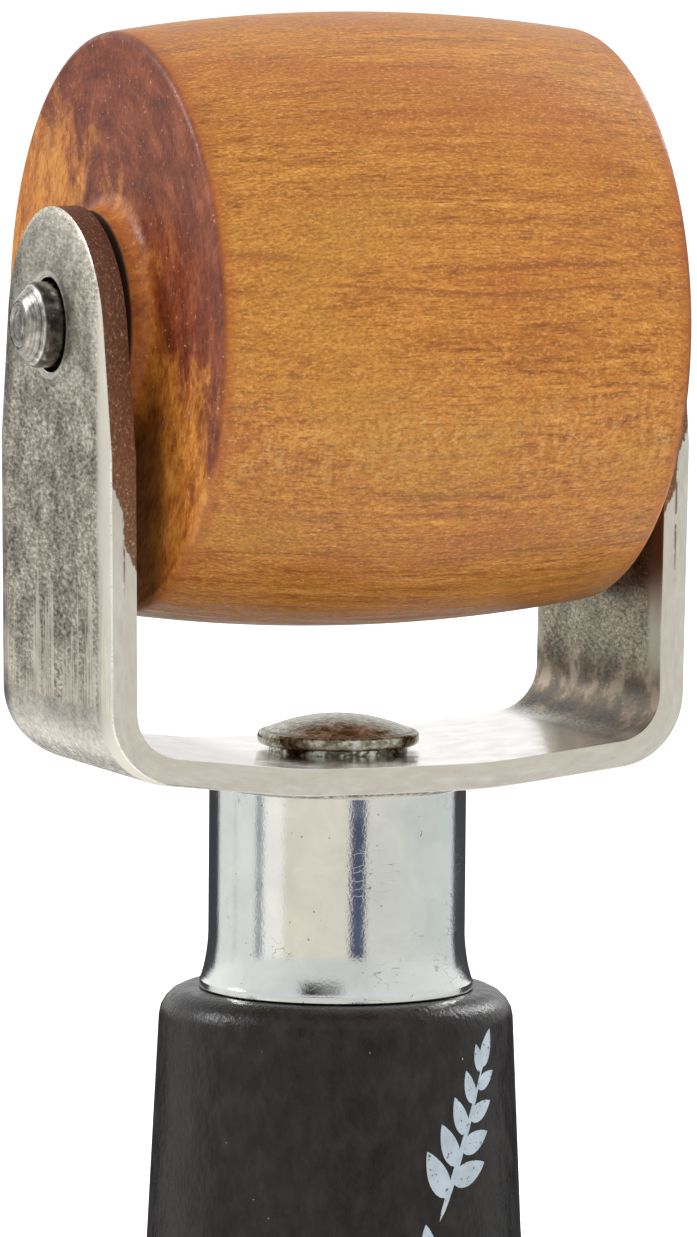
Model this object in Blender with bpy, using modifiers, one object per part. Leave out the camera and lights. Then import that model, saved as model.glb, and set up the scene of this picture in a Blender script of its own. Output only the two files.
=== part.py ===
"""Hand brayer with a crowned hardwood roller, a bent steel fork and a turned, painted handle.

The tool stands on its handle's butt: +Z runs up the handle's axis to the roller, the roller turns
about an axle along X, and the origin is the middle of the butt's flat. Sizes are in metres.
"""
import math

import bmesh
import bpy

# Clearances
FIT_GAP = 0.0003            # between pieces that seat on, or sit inside, each other
END_FLOAT = 0.0005          # between each hub face and the arm beside it, with the roller centred

# Roller: a crowned barrel with a raised hub on each end, pressed onto the axle pin
ROLLER_WIDTH = 0.03175
ROLLER_END_RADIUS = 0.01825
ROLLER_CROWN_RADIUS = 0.01945
ROLLER_EDGE_RADIUS = 0.0005
HUB_RADIUS = 0.0072
HUB_HEIGHT = 0.00175
HUB_FILLET = 0.0012
ROLLER_SHIFT = 0.0002       # the roller has slid this far along its end float

# Axle pin
AXLE_RADIUS = 0.0027
AXLE_PROUD = 0.0022         # how far each end stands out of the fork
AXLE_CHAMFER = 0.0008

# Fork: one strip, bent up at both sides, its base pulled down onto the ferrule
STRIP_THICKNESS = 0.00185
STRIP_WIDTH = 0.0190
STRIP_OFFSET = -0.00065     # the strip's centre line lies this far in front of the holes
STRIP_EDGE_RADIUS = 0.0003
BEND_RADIUS = 0.0030        # inside radius of the two side bends
ARM_SPLAY = math.radians(0.75)
ARM_TAPER = math.radians(9.4)
ARM_TIP_RADIUS = 0.00825
ARM_TIP_DROP = 0.0008       # the round tip is struck from this far below the axle
THROAT = 0.00805            # between the roller's crown and the base
SEAT_HALF_WIDTH = 0.0035    # half of the base's flat middle
SEAT_BLEND_RADIUS = 0.043
FLANK_ANGLE = math.radians(6.6)

# Tang rivet and the collar that lines the base's hole under its head
HEAD_RADIUS = 0.00515
HEAD_RIM = 0.00085
HEAD_DOME = 0.00105
COLLAR_RADIUS = 0.0044
COLLAR_PROUD = 0.0004       # how far the head stands off the base
TANG_RADIUS = 0.0025
TANG_LENGTH = 0.0600
TANG_POINT = 0.0070

# Ferrule: a drawn cup over the handle's tenon, flared at its foot
FERRULE_RADIUS = 0.0082
FERRULE_WALL = 0.0006
FERRULE_LENGTH = 0.0128
FLARE_RADIUS = 0.00877
FLARE_HEIGHT = 0.0021

# Handle
HANDLE_LENGTH = 0.1150      # butt to shoulder
NECK_RADIUS = 0.01124
NECK_SLOPE = 0.042
SHOULDER_ROUNDING = 0.0018
BELLY_RADIUS = 0.0140
BELLY_HEIGHT = 0.0490       # above the butt
BUTT_RADIUS = 0.0126
BUTT_SLOPE = 0.036
BUTT_ROUNDING = 0.0035
TANG_HOLE_SPARE = 0.0015    # depth of the hole below the tang's point

# Heights worked out from the sizes above
FERRULE_FOOT = HANDLE_LENGTH + FIT_GAP
FERRULE_TOP = FERRULE_FOOT + FERRULE_LENGTH
BASE_UNDERSIDE = FERRULE_TOP + FIT_GAP
BASE_TOP = BASE_UNDERSIDE + STRIP_THICKNESS
HEAD_UNDERSIDE = BASE_TOP + COLLAR_PROUD
AXLE_HEIGHT = BASE_TOP + THROAT + ROLLER_CROWN_RADIUS
ARM_HALF_GAP = ROLLER_WIDTH / 2 + HUB_HEIGHT + END_FLOAT
COLLAR_HOLE_RADIUS = COLLAR_RADIUS + FIT_GAP
TANG_HOLE_RADIUS = TANG_RADIUS + FIT_GAP
AXLE_HOLE_RADIUS = AXLE_RADIUS + FIT_GAP

WHOLE_TURN = 2 * math.pi
RIGHT_ANGLE = math.pi / 2
ROLLER_STEPS = 60
ROUND_STEPS = 44
SMALL_STEPS = 32
MERGE = 0.000001


# Scene and materials

def clear_scene():
    """Remove every object that the file opened with."""
    for item in list(bpy.data.objects):
        bpy.data.objects.remove(item, do_unlink=True)


def new_collection(name):
    collection = bpy.data.collections.new(name)
    bpy.context.scene.collection.children.link(collection)
    return collection


def new_material(name, color, roughness, metallic):
    material = bpy.data.materials.new(name)
    material.use_nodes = True
    shader = material.node_tree.nodes["Principled BSDF"]
    shader.inputs["Base Color"].default_value = (*color, 1.0)
    shader.inputs["Roughness"].default_value = roughness
    shader.inputs["Metallic"].default_value = metallic
    material.diffuse_color = (*color, 1.0)
    return material


# Outlines

def arc(center, radius, start, end, steps):
    """Points on an arc from one angle to another, both ends included."""
    turn = (end - start) / steps
    return [(center[0] + radius * math.cos(start + turn * i),
             center[1] + radius * math.sin(start + turn * i)) for i in range(steps + 1)]


def rounded(corners, steps=4):
    """An open outline through (a, b, radius) corners, each inner corner rounded by its radius."""
    points = [corners[0][:2]]
    for before, corner, after in zip(corners, corners[1:], corners[2:]):
        radius = corner[2]
        if radius == 0:
            points.append(corner[:2])
            continue
        into = math.atan2(corner[1] - before[1], corner[0] - before[0])
        out_of = math.atan2(after[1] - corner[1], after[0] - corner[0])
        turn = math.remainder(out_of - into, WHOLE_TURN)
        side = math.copysign(1.0, turn)
        back = radius * math.tan(abs(turn) / 2)
        center = (corner[0] - back * math.cos(into) - side * radius * math.sin(into),
                  corner[1] - back * math.sin(into) + side * radius * math.cos(into))
        start = into - side * RIGHT_ANGLE
        points += arc(center, radius, start, start + turn, steps)
    return points + [corners[-1][:2]]


def swept(start, end, start_slope, end_slope, steps):
    """A fair curve of radius against height between two (radius, height) points."""
    rise = end[1] - start[1]
    points = []
    for i in range(steps + 1):
        t = i / steps
        radius = (start[0] * (2 * t**3 - 3 * t**2 + 1) + end[0] * (3 * t**2 - 2 * t**3)
                  + rise * start_slope * (t**3 - 2 * t**2 + t) + rise * end_slope * (t**3 - t**2))
        points.append((radius, start[1] + rise * t))
    return points


# Solids

def place(item, collection, material, smooth=True):
    collection.objects.link(item)
    if material is not None:
        item.data.materials.append(material)
    if smooth:
        item.data.shade_smooth()
    return item


def turned(name, profile, collection, material, steps, closed=False):
    """A solid of revolution about its own Z from a profile that runs down its outer side."""
    edges = [(i, i + 1) for i in range(len(profile) - 1)]
    if closed:
        edges.append((len(profile) - 1, 0))
    mesh = bpy.data.meshes.new(name)
    mesh.from_pydata([(radius, 0.0, height) for radius, height in profile], edges, [])
    item = place(bpy.data.objects.new(name, mesh), collection, material, smooth=False)
    screw = item.modifiers.new("Turn", "SCREW")
    screw.angle = WHOLE_TURN
    screw.steps = steps
    screw.render_steps = steps
    screw.use_merge_vertices = True
    screw.merge_threshold = MERGE
    screw.use_smooth_shade = True
    item.modifiers.new("Even shading", "WEIGHTED_NORMAL")
    return item


def plate(name, outline, thickness, collection, material=None):
    """A flat outline in its own XY plane, given half of its thickness to each side, as a mesh."""
    curve = bpy.data.curves.new(name + "_outline", "CURVE")
    curve.dimensions = "2D"
    curve.fill_mode = "BOTH"
    curve.extrude = thickness / 2
    spline = curve.splines.new("POLY")
    spline.points.add(len(outline) - 1)
    for point, (a, b) in zip(spline.points, outline):
        point.co = (a, b, 0.0, 1.0)
    spline.use_cyclic_u = True
    source = bpy.data.objects.new(name + "_outline", curve)
    collection.objects.link(source)
    bpy.context.view_layer.update()
    evaluated = source.evaluated_get(bpy.context.evaluated_depsgraph_get())
    mesh = bpy.data.meshes.new_from_object(evaluated)
    bpy.data.objects.remove(source, do_unlink=True)
    welded = bmesh.new()
    welded.from_mesh(mesh)
    bmesh.ops.remove_doubles(welded, verts=welded.verts, dist=MERGE)
    bmesh.ops.dissolve_limit(welded, angle_limit=math.radians(0.5), verts=welded.verts,
                             edges=welded.edges)
    welded.to_mesh(mesh)
    welded.free()
    mesh.name = name
    return place(bpy.data.objects.new(name, mesh), collection, material, smooth=False)


def cylinder_cutter(name, radius, length, location, rotation, collection):
    bpy.ops.mesh.primitive_cylinder_add(vertices=SMALL_STEPS, radius=radius, depth=length,
                                        location=location, rotation=rotation)
    item = bpy.context.object
    item.name = name
    for owner in list(item.users_collection):
        owner.objects.unlink(item)
    collection.objects.link(item)
    return item


def cut(target, cutter, operation="DIFFERENCE"):
    cutter.hide_render = True
    cutter.display_type = "WIRE"
    boolean = target.modifiers.new(cutter.name, "BOOLEAN")
    boolean.operation = operation
    boolean.solver = "EXACT"
    boolean.object = cutter


# Roller and axle, both on the axle's axis

def barrel_radius(x):
    """Radius of the crowned barrel at x along its axis: one arc from end to end."""
    half = ROLLER_WIDTH / 2
    crown = ROLLER_CROWN_RADIUS - ROLLER_END_RADIUS
    crown_arc = (half**2 + crown**2) / (2 * crown)
    return ROLLER_CROWN_RADIUS - crown_arc + math.sqrt(crown_arc**2 - x**2)


def build_roller(collection, material, axle_axis):
    half = ROLLER_WIDTH / 2
    edge = ROLLER_EDGE_RADIUS
    end = rounded([(AXLE_HOLE_RADIUS, half + HUB_HEIGHT, 0),
                   (HUB_RADIUS, half + HUB_HEIGHT, edge),
                   (HUB_RADIUS, half, HUB_FILLET),
                   (ROLLER_END_RADIUS, half, edge),
                   (barrel_radius(half - 3 * edge), half - 3 * edge, 0)], 2)
    inner = half - 3 * edge
    crown_steps = 10
    crown = [(barrel_radius(x), x)
             for x in (inner - 2 * inner * i / crown_steps for i in range(1, crown_steps))]
    other_end = [(radius, -x) for radius, x in reversed(end)]
    roller = turned("roller", end + crown + other_end, collection, material, ROLLER_STEPS, closed=True)
    roller.rotation_euler = (0.0, RIGHT_ANGLE, 0.0)
    roller.parent = axle_axis
    return roller


def build_axle(collection, material, axle_axis):
    half = ARM_HALF_GAP + STRIP_THICKNESS + AXLE_PROUD
    profile = [(0.0, half),
               (AXLE_RADIUS - AXLE_CHAMFER, half),
               (AXLE_RADIUS, half - AXLE_CHAMFER),
               (AXLE_RADIUS, AXLE_CHAMFER - half),
               (AXLE_RADIUS - AXLE_CHAMFER, -half),
               (0.0, -half)]
    axle = turned("axle_pin", profile, collection, material, SMALL_STEPS)
    axle.rotation_euler = (0.0, RIGHT_ANGLE, 0.0)
    axle.parent = axle_axis
    return axle


# Fork

def strip_side(offset, top):
    """Right half of one face of the bent strip, from the middle of the base to the arm's top.

    The face lies offset below the base's upper face, and points are (x, height above that face).
    """
    blend = SEAT_BLEND_RADIUS + offset
    bend = BEND_RADIUS + offset
    steep = RIGHT_ANGLE - ARM_SPLAY
    blend_center = (SEAT_HALF_WIDTH, SEAT_BLEND_RADIUS)
    flank_x = blend_center[0] + SEAT_BLEND_RADIUS * math.sin(FLANK_ANGLE)
    flank_z = blend_center[1] - SEAT_BLEND_RADIUS * math.cos(FLANK_ANGLE)
    axle_above_base = AXLE_HEIGHT - BASE_TOP
    lean = math.tan(ARM_SPLAY)
    bend_x = BEND_RADIUS * (math.sin(steep) - math.sin(FLANK_ANGLE))
    bend_z = BEND_RADIUS * (math.cos(FLANK_ANGLE) - math.cos(steep))
    reach = ARM_HALF_GAP - flank_x - bend_x - (axle_above_base - flank_z - bend_z) * lean
    flank = reach / (math.cos(FLANK_ANGLE) - math.sin(FLANK_ANGLE) * lean)
    bend_center = (flank_x + flank * math.cos(FLANK_ANGLE) - BEND_RADIUS * math.sin(FLANK_ANGLE),
                   flank_z + flank * math.sin(FLANK_ANGLE) + BEND_RADIUS * math.cos(FLANK_ANGLE))
    points = arc(blend_center, blend, -RIGHT_ANGLE, FLANK_ANGLE - RIGHT_ANGLE, 3)
    points += arc(bend_center, bend, FLANK_ANGLE - RIGHT_ANGLE, steep - RIGHT_ANGLE, 8)
    last_x, last_z = points[-1]
    return points + [(last_x + (top - last_z) * lean, top)]


def arm_outline(low, high):
    """The strip seen along X: wide base, tapered arms and round tips, as (y, z) points."""
    tip_center = AXLE_HEIGHT - ARM_TIP_DROP
    tip = arc((0.0, tip_center), ARM_TIP_RADIUS, ARM_TAPER, math.pi - ARM_TAPER, 18)
    half = STRIP_WIDTH / 2
    shoulder = tip[0][1] - (half - tip[0][0]) / math.tan(ARM_TAPER)
    assert low < shoulder < high
    return [(-half, low), (half, low), (half, shoulder)] + tip + [(-half, shoulder)]


def build_fork(collection, cutters, material):
    arm_top = AXLE_HEIGHT - ARM_TIP_DROP + ARM_TIP_RADIUS - BASE_TOP + 2 * FIT_GAP
    inner = strip_side(0.0, arm_top)
    outer = strip_side(STRIP_THICKNESS, arm_top)
    section = [(-x, z) for x, z in reversed(outer)] + outer + list(reversed(inner))
    section += [(-x, z) for x, z in inner]
    fork = plate("fork", section, 1.5 * STRIP_WIDTH, collection, material)
    fork.rotation_euler = (RIGHT_ANGLE, 0.0, 0.0)
    fork.location = (0.0, STRIP_OFFSET, BASE_TOP)

    span = 3 * ARM_HALF_GAP
    outline = arm_outline(BASE_UNDERSIDE - STRIP_THICKNESS, AXLE_HEIGHT)
    blank = plate("fork_blank_cutter", outline, span, cutters)
    blank.rotation_euler = (RIGHT_ANGLE, 0.0, RIGHT_ANGLE)
    blank.location = (0.0, STRIP_OFFSET, 0.0)
    cut(fork, blank, "INTERSECT")
    cut(fork, cylinder_cutter("axle_hole_cutter", AXLE_HOLE_RADIUS, span, (0.0, 0.0, AXLE_HEIGHT),
                              (0.0, RIGHT_ANGLE, 0.0), cutters))
    cut(fork, cylinder_cutter("collar_hole_cutter", COLLAR_HOLE_RADIUS, 4 * STRIP_THICKNESS,
                              (0.0, 0.0, BASE_TOP), (0.0, 0.0, 0.0), cutters))
    soften = fork.modifiers.new("Rolled edges", "BEVEL")
    soften.limit_method = "ANGLE"
    soften.angle_limit = math.radians(50)
    soften.width = STRIP_EDGE_RADIUS
    soften.segments = 2
    return fork


# Tang rivet, collar, ferrule and handle, all on the handle's axis

def build_tang(collection, material):
    rim_top = HEAD_UNDERSIDE + HEAD_RIM
    rim_edge = HEAD_RIM / 3
    dome_start = HEAD_RADIUS - rim_edge
    dome_radius = (dome_start**2 + HEAD_DOME**2) / (2 * HEAD_DOME)
    half_angle = math.asin(dome_start / dome_radius)
    dome_center = (0.0, rim_top + HEAD_DOME - dome_radius)
    dome = arc(dome_center, dome_radius, RIGHT_ANGLE, RIGHT_ANGLE - half_angle, 5)
    dome[0] = (0.0, rim_top + HEAD_DOME)
    point = HEAD_UNDERSIDE - TANG_LENGTH
    rim = rounded([(dome_start, rim_top, 0),
                   (HEAD_RADIUS, rim_top, rim_edge * 0.9),
                   (HEAD_RADIUS, HEAD_UNDERSIDE, rim_edge),
                   (TANG_RADIUS, HEAD_UNDERSIDE, 0),
                   (TANG_RADIUS, point + TANG_POINT, 0),
                   (TANG_RADIUS / 3, point, 0),
                   (0.0, point, 0)], 2)
    return turned("tang_rivet", dome + rim[1:], collection, material, SMALL_STEPS)


def build_collar(collection, material):
    top = HEAD_UNDERSIDE - FIT_GAP
    bottom = FERRULE_TOP + FIT_GAP
    profile = [(TANG_HOLE_RADIUS, top), (COLLAR_RADIUS, top),
               (COLLAR_RADIUS, bottom), (TANG_HOLE_RADIUS, bottom)]
    return turned("rivet_collar", profile, collection, material, SMALL_STEPS, closed=True)


def build_ferrule(collection, material):
    wall = FERRULE_WALL
    flare_top = FERRULE_FOOT + FLARE_HEIGHT
    profile = rounded([(TANG_HOLE_RADIUS, FERRULE_TOP, 0),
                       (FERRULE_RADIUS, FERRULE_TOP, wall),
                       (FERRULE_RADIUS, flare_top, 2 * FLARE_HEIGHT),
                       (FLARE_RADIUS, FERRULE_FOOT, 0),
                       (FLARE_RADIUS - wall, FERRULE_FOOT, 0),
                       (FERRULE_RADIUS - wall, flare_top, 2 * FLARE_HEIGHT),
                       (FERRULE_RADIUS - wall, FERRULE_TOP - wall, 0),
                       (TANG_HOLE_RADIUS, FERRULE_TOP - wall, 0)], 3)
    return turned("ferrule", profile, collection, material, ROUND_STEPS, closed=True)


def build_handle(collection, material):
    tenon_radius = FERRULE_RADIUS - FERRULE_WALL - FIT_GAP
    tenon_top = FERRULE_TOP - FERRULE_WALL - FIT_GAP
    hole_bottom = HEAD_UNDERSIDE - TANG_LENGTH - TANG_HOLE_SPARE
    shoulder_foot = HANDLE_LENGTH - 2 * SHOULDER_ROUNDING
    butt_foot = 2 * BUTT_ROUNDING
    upper = swept((BELLY_RADIUS, BELLY_HEIGHT), (NECK_RADIUS, HANDLE_LENGTH), 0.0, -NECK_SLOPE, 9)
    upper = [point for point in reversed(upper) if point[1] < shoulder_foot]
    lower = swept((BELLY_RADIUS, BELLY_HEIGHT), (BUTT_RADIUS, 0.0), 0.0, BUTT_SLOPE, 8)
    lower = [point for point in lower[1:] if point[1] > butt_foot]
    shoulder_side = NECK_RADIUS + NECK_SLOPE * SHOULDER_ROUNDING
    top = rounded([(0.0, hole_bottom, 0),
                   (TANG_HOLE_RADIUS, hole_bottom, 0),
                   (TANG_HOLE_RADIUS, tenon_top, 0),
                   (tenon_radius, tenon_top, 0),
                   (tenon_radius, HANDLE_LENGTH, 0),
                   (NECK_RADIUS, HANDLE_LENGTH, SHOULDER_ROUNDING),
                   (shoulder_side, shoulder_foot, 0)])
    butt = rounded([lower[-1] + (0,), (BUTT_RADIUS, 0.0, BUTT_ROUNDING), (0.0, 0.0, 0)])
    return turned("handle", top[:-1] + upper + lower[:-1] + butt, collection, material, ROUND_STEPS)


def main():
    clear_scene()
    parts = new_collection("brayer")
    cutters = new_collection("cutters")
    oiled_wood = new_material("oiled_wood", (0.55, 0.22, 0.05), 0.38, 0.0)
    bright_steel = new_material("bright_steel", (0.60, 0.58, 0.55), 0.30, 1.0)
    strip_steel = new_material("strip_steel", (0.52, 0.51, 0.48), 0.36, 1.0)
    dull_nickel = new_material("dull_nickel", (0.42, 0.36, 0.28), 0.32, 1.0)
    bright_zinc = new_material("bright_zinc", (0.75, 0.78, 0.82), 0.16, 1.0)
    black_paint = new_material("black_paint", (0.022, 0.020, 0.020), 0.34, 0.0)

    axle_axis = bpy.data.objects.new("axle_axis", None)
    axle_axis.location = (ROLLER_SHIFT, 0.0, AXLE_HEIGHT)
    parts.objects.link(axle_axis)

    build_handle(parts, black_paint)
    build_ferrule(parts, bright_zinc)
    build_collar(parts, dull_nickel)
    build_tang(parts, dull_nickel)
    build_fork(parts, cutters, strip_steel)
    build_axle(parts, bright_steel, axle_axis)
    build_roller(parts, oiled_wood, axle_axis)


main()
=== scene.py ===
# %% [markdown]
# # A hand brayer in oiled wood, bent steel and black paint
#
# A brayer is a small hand roller: bookbinders press paper and cloth down with it, and printmakers
# burnish a print from its back. This one has a crowned hardwood barrel that turns on a steel pin
# between the arms of a bent strip. A rivet holds the strip to a plated ferrule on a painted handle.
#
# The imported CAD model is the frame: it gives every place and size, and each piece below is built
# around it. The tool stands on the butt of its handle, so +Z runs up the handle to the roller and
# the roller turns about X.

import math

import bmesh
import bpy
from mathutils import Matrix, Vector


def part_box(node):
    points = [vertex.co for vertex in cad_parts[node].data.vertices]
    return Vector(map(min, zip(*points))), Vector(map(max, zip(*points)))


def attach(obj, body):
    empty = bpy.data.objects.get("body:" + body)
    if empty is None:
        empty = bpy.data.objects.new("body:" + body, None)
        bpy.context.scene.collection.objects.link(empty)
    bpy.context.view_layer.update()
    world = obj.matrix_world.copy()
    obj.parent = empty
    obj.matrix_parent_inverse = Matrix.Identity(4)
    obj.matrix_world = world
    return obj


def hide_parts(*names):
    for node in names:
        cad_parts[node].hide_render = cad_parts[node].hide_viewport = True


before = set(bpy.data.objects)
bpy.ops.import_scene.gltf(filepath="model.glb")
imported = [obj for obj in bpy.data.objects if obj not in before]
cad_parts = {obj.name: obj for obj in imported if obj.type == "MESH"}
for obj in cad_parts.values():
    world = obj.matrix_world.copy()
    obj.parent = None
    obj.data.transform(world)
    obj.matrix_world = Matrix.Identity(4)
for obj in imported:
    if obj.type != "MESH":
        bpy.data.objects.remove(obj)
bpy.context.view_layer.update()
MM = 0.001

# %% Take the main places from the CAD
roller_low, roller_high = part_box("roller")
pin_low, pin_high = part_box("axle_pin")
rivet_low, rivet_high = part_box("tang_rivet")
ferrule_low, ferrule_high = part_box("ferrule")

AXLE_HEIGHT = (roller_low.z + roller_high.z) / 2
CROWN_RADIUS = (roller_high.z - roller_low.z) / 2
ROLLER_MIDDLE = (roller_low.x + roller_high.x) / 2
PIN_RADIUS = (pin_high.z - pin_low.z) / 2
HUB_HEIGHT = 1.75 * MM
HALF_WIDTH = (roller_high.x - roller_low.x) / 2 - HUB_HEIGHT
STRIP_THICKNESS = 1.85 * MM
THROAT = 8.05 * MM
BASE_TOP = AXLE_HEIGHT - CROWN_RADIUS - THROAT
BASE_UNDERSIDE = BASE_TOP - STRIP_THICKNESS
print("axle height", round(AXLE_HEIGHT / MM, 2), "base top", round(BASE_TOP / MM, 2))

# %% [markdown]
# ## Camera
#
# The camera looks down a little and from the left, from more than half a metre away through a long
# lens, so that the roller's far edge hardly shrinks. It comes first because everything after it is
# judged through it. Its aim is the whole roller, the fork, the ferrule and the top of the handle.

# %% Camera
CAMERA_PLACE = (-0.22335, -0.52434, AXLE_HEIGHT + 0.03862)
CAMERA_TURN, CAMERA_TILT, CAMERA_ROLL = -23.132, -5.785, 0.495

camera_data = bpy.data.cameras.new("camera")
camera_data.sensor_width = 36.0
camera_data.lens = 261.9
camera_data.clip_start = 0.05
camera_data.clip_end = 100.0
camera = bpy.data.objects.new("camera", camera_data)
bpy.context.scene.collection.objects.link(camera)
camera.matrix_world = (Matrix.Translation(CAMERA_PLACE)
                       @ Matrix.Rotation(math.radians(CAMERA_TURN), 4, "Z")
                       @ Matrix.Rotation(math.radians(90 + CAMERA_TILT), 4, "X")
                       @ Matrix.Rotation(math.radians(CAMERA_ROLL), 4, "Z"))
bpy.context.scene.camera = camera
print("camera at", [round(v, 3) for v in camera.location])

# %% [markdown]
# ## A short way to write nodes
#
# A finish is a few layers of noise: each drives the colour, the roughness or the small bumps. The
# room's light is written the same way. Writing every node out takes five lines, so this class adds
# one node per call and returns its output. Finishes read Object coordinates, in metres, or a named
# attribute of the piece's own.

# %% Node writer
class Nodes:
    """A tree of shader nodes, written one call at a time."""

    def __init__(self, tree):
        self.tree = tree

    def add(self, kind, feeds, out=0, **settings):
        """One node: feeds maps an input's name or number to a value or to another node's output."""
        node = self.tree.nodes.new("ShaderNode" + kind)
        for key, value in settings.items():
            setattr(node, key, value)
        for socket, value in feeds.items():
            if isinstance(value, bpy.types.NodeSocket):
                self.tree.links.new(value, node.inputs[socket])
            else:
                node.inputs[socket].default_value = value
        return node.outputs[out]

    def object_place(self):
        return self.add("TexCoord", {}, out="Object")

    def attribute(self, name):
        return self.add("Attribute", {}, out="Vector", attribute_name=name)

    def mapped(self, vector, scale=(1, 1, 1), turn=(0, 0, 0), shift=(0, 0, 0)):
        return self.add("Mapping", {"Vector": vector, "Scale": scale, "Rotation": turn,
                                    "Location": shift})

    def noise(self, vector, stretch=(1, 1, 1), detail=2.0, rough=0.5, warp=0.0):
        """Soft blotches; stretch says how many fit in a metre along each direction."""
        return self.add("TexNoise", {"Vector": self.mapped(vector, scale=stretch), "Scale": 1.0,
                                     "Detail": detail, "Roughness": rough, "Distortion": warp})

    def lines(self, value, per_metre, detail=3.0, rough=0.5):
        """Noise along one measure only, which makes lines, rings or layers."""
        return self.add("TexNoise", {"W": self.times(value, per_metre), "Scale": 1.0,
                                     "Detail": detail, "Roughness": rough}, noise_dimensions="1D")

    def math(self, operation, first, *others):
        """Carries the first value through the operation with each of the others in turn."""
        for other in others or (0.0,):
            first = self.add("Math", {0: first, 1: other}, operation=operation)
        return first

    def plus(self, *values):
        return self.math("ADD", *values)

    def minus(self, value, less):
        return self.math("SUBTRACT", value, less)

    def times(self, *values):
        return self.math("MULTIPLY", *values)

    def most(self, *values):
        return self.math("MAXIMUM", *values)

    def absolute(self, value):
        return self.math("ABSOLUTE", value)

    def weighted(self, *shares):
        """Adds up (value, share) pairs, each value times its share."""
        return self.plus(*[self.times(value, share) for value, share in shares])

    def radius(self, across, up):
        """Distance from an axis, out of the two measures that lie across it."""
        return self.math("POWER", self.plus(self.times(across, across), self.times(up, up)), 0.5)

    def band(self, value, low, high, first=0.0, last=1.0, smooth=True):
        """Value brought from low..high to first..last, held at both ends."""
        kind = "SMOOTHSTEP" if smooth else "LINEAR"
        return self.add("MapRange", {"Value": value, 1: low, 2: high, 3: first, 4: last},
                        interpolation_type=kind)

    def between(self, value, rise, fall):
        """One from the end of the rise to the start of the fall, and nothing outside the two."""
        return self.times(self.band(value, *rise), self.band(value, *fall, 1.0, 0.0))

    def ramp(self, value, stops):
        node = self.tree.nodes.new("ShaderNodeValToRGB")
        while len(node.color_ramp.elements) < len(stops):
            node.color_ramp.elements.new(0.5)
        for element, (place, color) in zip(node.color_ramp.elements, stops):
            element.position = place
            element.color = (*color, 1.0)
        self.tree.links.new(value, node.inputs[0])
        return node.outputs[0]

    def mix(self, share, a, b, blend="MIX"):
        feeds = {0: share}
        for number, color in ((6, a), (7, b)):
            feeds[number] = color if isinstance(color, bpy.types.NodeSocket) else (*color, 1.0)
        return self.add("Mix", feeds, out=2, data_type="RGBA", blend_type=blend)

    def split(self, vector):
        node = self.tree.nodes.new("ShaderNodeSeparateXYZ")
        self.tree.links.new(vector, node.inputs[0])
        return node.outputs[:]

    def bump(self, height, distance, strength):
        return self.add("Bump", {"Height": height, "Distance": distance, "Strength": strength})


class Finish(Nodes):
    """A material that is written in this way; the constants go straight on its shader."""

    def __init__(self, name, **constants):
        self.material = bpy.data.materials.new(name)
        self.material.use_nodes = True
        super().__init__(self.material.node_tree)
        self.shader = self.tree.nodes["Principled BSDF"]
        for socket, value in constants.items():
            self.shader.inputs[socket.replace("_", " ")].default_value = value

    def surface(self, color, roughness, normal):
        for socket, value in (("Base Color", color), ("Roughness", roughness), ("Normal", normal)):
            self.tree.links.new(value, self.shader.inputs[socket])
        return self.material


# %% [markdown]
# ## Floor and light
#
# The tool stands on a wide white sweep, which only the camera sees. What lights the tool and shows
# in its metal is the room, a world colour written by direction, so it costs no geometry. Below the
# horizon it is a ring of white panels with narrow dark gaps between them. Above stands a plain
# bright wall with one dimmer patch, then a grey ceiling, and straight below is the white of the
# table. Soft lamps on both sides give the light a direction.

# %% White sweep
SWEEP_RADIUS = 6.0
SWEEP_HEIGHT = 3.9


def verts_in(geometry):
    return [item for item in geometry if isinstance(item, bmesh.types.BMVert)]


sweep = bmesh.new()
bmesh.ops.create_circle(sweep, cap_ends=True, segments=64, radius=SWEEP_RADIUS)
wall = bmesh.ops.extrude_edge_only(sweep, edges=sweep.edges[:])["geom"]
bmesh.ops.translate(sweep, verts=verts_in(wall), vec=(0, 0, SWEEP_HEIGHT))
floor_mesh = bpy.data.meshes.new("floor")
sweep.to_mesh(floor_mesh)
sweep.free()
white = Finish("white_sweep", Base_Color=(0.85, 0.85, 0.85, 1.0), Roughness=0.9,
               Specular_IOR_Level=0.0, Emission_Color=(1.0, 1.0, 1.0, 1.0),
               Emission_Strength=0.55)
floor_mesh.materials.append(white.material)
floor = bpy.data.objects.new("floor", floor_mesh)
bpy.context.scene.collection.objects.link(floor)
floor.visible_diffuse = False
floor.visible_glossy = False

# %% Room
PANELS = [(0.000, 0.05, 0.05, 0.06), (0.124, 0.06, 0.06, 0.07), (0.138, 0.76, 0.78, 0.75),
          (0.207, 0.78, 0.80, 0.77), (0.211, 0.45, 0.46, 0.47), (0.215, 0.78, 0.80, 0.77),
          (0.281, 0.78, 0.80, 0.78), (0.286, 0.33, 0.37, 0.42), (0.303, 0.35, 0.39, 0.44),
          (0.309, 0.92, 0.92, 0.88), (0.360, 0.94, 0.93, 0.88), (0.368, 0.76, 0.72, 0.62),
          (0.530, 0.77, 0.74, 0.65), (0.537, 0.08, 0.10, 0.17), (0.566, 0.08, 0.10, 0.17),
          (0.574, 0.72, 0.71, 0.65), (0.700, 0.66, 0.67, 0.65), (0.850, 0.66, 0.70, 0.69),
          (0.862, 0.07, 0.07, 0.08), (1.000, 0.05, 0.05, 0.06)]
ABOVE = [(0.00, 1.10, 1.09, 1.08), (0.18, 0.90, 0.91, 0.90), (0.38, 0.70, 0.72, 0.71),
         (0.53, 0.66, 0.67, 0.66), (0.80, 0.80, 0.82, 0.81), (1.00, 1.10, 1.09, 1.08)]
SPOT = [(0.40, 0.0, 0.0, 0.0), (0.43, 1.0, 1.0, 1.0), (0.50, 0.6, 0.6, 0.6), (0.53, 0.0, 0.0, 0.0)]
CEILING = (0.72, 0.74, 0.76)
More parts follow.
